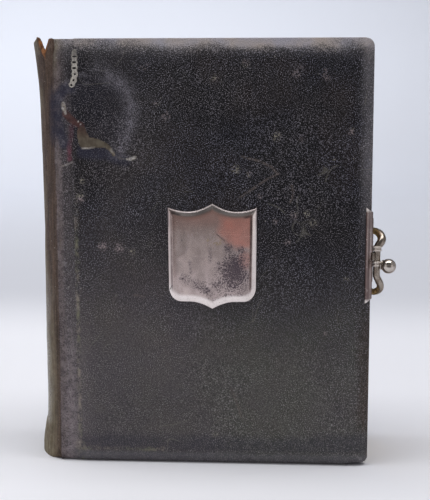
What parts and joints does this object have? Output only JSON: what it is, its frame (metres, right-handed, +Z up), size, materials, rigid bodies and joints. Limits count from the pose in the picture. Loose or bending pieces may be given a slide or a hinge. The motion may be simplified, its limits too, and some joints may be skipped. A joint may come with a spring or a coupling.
{
  "type": "photograph album",
  "caption": "Leather-covered photograph album with thick windowed card leaves on cloth hinges, a blank shield plate and a wire-bow clasp on the fore-edge.",
  "frame": {"origin": "middle of the bottom of the closed album's bounding box, on the surface it stands on", "axes": "+Z up along the covers' height, -Y out of the front cover, +X towards the fore-edge and clasp, -X towards the spine"},
  "size_m": [0.1272, 0.0414, 0.152],
  "materials": {
    "leather": "pebbled, worn",
    "spine_leather": "pebbled, worn",
    "board": "pressed pulp board",
    "endpaper": "smooth paper",
    "nickel": "nickel plate, tarnished",
    "steel": "plain",
    "bow_metal": "worn",
    "card": "cream card",
    "cloth": "plain weave"
  },
  "bodies": {
    "back_cover": {"back_board": "board", "back_leather": "leather", "back_pastedown": "endpaper", "back_clasp_plate": "nickel", "back_plate_rivets": "steel", "clasp_hinge_pin": "steel"},
    "spine": {"spine_leather": "spine_leather", "spine_lining": "board", "spine_linen": "cloth", "leaf_guards": "card"},
    "front_cover": {"front_board": "board", "front_leather": "leather", "front_pastedown": "endpaper", "shield_plate": "nickel", "shield_pins": "steel", "front_clasp_plate": "nickel", "front_plate_rivets": "steel", "catch_jaw": "steel"},
    "bow": {"clasp_bow": "bow_metal", "bow_barrels": "bow_metal", "bow_collars": "nickel", "thumb_knob": "nickel"},
    "page_01": {"leaf_01": "card", "leaf_hinge_01": "cloth"},
    "page_02": {"leaf_02": "card", "leaf_hinge_02": "cloth"},
    "page_03": {"leaf_03": "card", "leaf_hinge_03": "cloth"},
    "page_04": {"leaf_04": "card", "leaf_hinge_04": "cloth"},
    "page_05": {"leaf_05": "card", "leaf_hinge_05": "cloth"},
    "page_06": {"leaf_06": "card", "leaf_hinge_06": "cloth"},
    "page_07": {"leaf_07": "card", "leaf_hinge_07": "cloth"},
    "page_08": {"leaf_08": "card", "leaf_hinge_08": "cloth"},
    "page_09": {"leaf_09": "card", "leaf_hinge_09": "cloth"},
    "page_10": {"leaf_10": "card", "leaf_hinge_10": "cloth"},
    "page_11": {"leaf_11": "card", "leaf_hinge_11": "cloth"},
    "page_12": {"leaf_12": "card", "leaf_hinge_12": "cloth"}
  },
  "joints": [
    {"name": "album_opening", "type": "hinge", "parent": "back_cover", "child": "spine", "pos_m": [-0.05261, 0.0183, 0.076], "axis": [0, 0, -1], "range_deg": [0, 85]},
    {"name": "front_cover_hinge", "type": "hinge", "parent": "spine", "child": "front_cover", "pos_m": [-0.05261, -0.0169, 0.076], "axis": [0, 0, -1], "range_deg": [0, 85]},
    {"name": "page_01_turn", "type": "hinge", "parent": "spine", "child": "page_01", "pos_m": [-0.04761, -0.01296, 0.076], "axis": [0, 0, -1], "range_deg": [0, 79.9]},
    {"name": "page_02_turn", "type": "hinge", "parent": "spine", "child": "page_02", "pos_m": [-0.04761, -0.01047, 0.076], "axis": [0, 0, -1], "range_deg": [0, 65.37]},
    {"name": "page_03_turn", "type": "hinge", "parent": "spine", "child": "page_03", "pos_m": [-0.04761, -0.00799, 0.076], "axis": [0, 0, -1], "range_deg": [0, 50.85]},
    {"name": "page_04_turn", "type": "hinge", "parent": "spine", "child": "page_04", "pos_m": [-0.04761, -0.00551, 0.076], "axis": [0, 0, -1], "range_deg": [0, 36.32]},
    {"name": "page_05_turn", "type": "hinge", "parent": "spine", "child": "page_05", "pos_m": [-0.04761, -0.00302, 0.076], "axis": [0, 0, -1], "range_deg": [0, 21.79]},
    {"name": "page_06_turn", "type": "hinge", "parent": "spine", "child": "page_06", "pos_m": [-0.04761, -0.00054, 0.076], "axis": [0, 0, -1], "range_deg": [0, 7.26]},
    {"name": "page_07_turn", "type": "hinge", "parent": "spine", "child": "page_07", "pos_m": [-0.04761, 0.00194, 0.076], "axis": [0, 0, -1], "range_deg": [-7.26, 0]},
    {"name": "page_08_turn", "type": "hinge", "parent": "spine", "child": "page_08", "pos_m": [-0.04761, 0.00443, 0.076], "axis": [0, 0, -1], "range_deg": [-21.79, 0]},
    {"name": "page_09_turn", "type": "hinge", "parent": "spine", "child": "page_09", "pos_m": [-0.04761, 0.00691, 0.076], "axis": [0, 0, -1], "range_deg": [-36.32, 0]},
    {"name": "page_10_turn", "type": "hinge", "parent": "spine", "child": "page_10", "pos_m": [-0.04761, 0.00939, 0.076], "axis": [0, 0, -1], "range_deg": [-50.85, 0]},
    {"name": "page_11_turn", "type": "hinge", "parent": "spine", "child": "page_11", "pos_m": [-0.04761, 0.01188, 0.076], "axis": [0, 0, -1], "range_deg": [-65.37, 0]},
    {"name": "page_12_turn", "type": "hinge", "parent": "spine", "child": "page_12", "pos_m": [-0.04761, 0.01436, 0.076], "axis": [0, 0, -1], "range_deg": [-79.9, 0]},
    {"name": "clasp_swing", "type": "hinge", "parent": "back_cover", "child": "bow", "pos_m": [0.05699, 0.0177, 0.0734], "axis": [0, 0, 1], "range_deg": [0, 150]}
  ],
  "couplings": [
    {"joint": "front_cover_hinge", "follows": "album_opening", "ratio": 1},
    {"joint": "page_01_turn", "follows": "album_opening", "ratio": 0.94},
    {"joint": "page_02_turn", "follows": "album_opening", "ratio": 0.76909},
    {"joint": "page_03_turn", "follows": "album_opening", "ratio": 0.59818},
    {"joint": "page_04_turn", "follows": "album_opening", "ratio": 0.42727},
    {"joint": "page_05_turn", "follows": "album_opening", "ratio": 0.25636},
    {"joint": "page_06_turn", "follows": "album_opening", "ratio": 0.085455},
    {"joint": "page_07_turn", "follows": "album_opening", "ratio": -0.085455},
    {"joint": "page_08_turn", "follows": "album_opening", "ratio": -0.25636},
    {"joint": "page_09_turn", "follows": "album_opening", "ratio": -0.42727},
    {"joint": "page_10_turn", "follows": "album_opening", "ratio": -0.59818},
    {"joint": "page_11_turn", "follows": "album_opening", "ratio": -0.76909},
    {"joint": "page_12_turn", "follows": "album_opening", "ratio": -0.94}
  ]
}
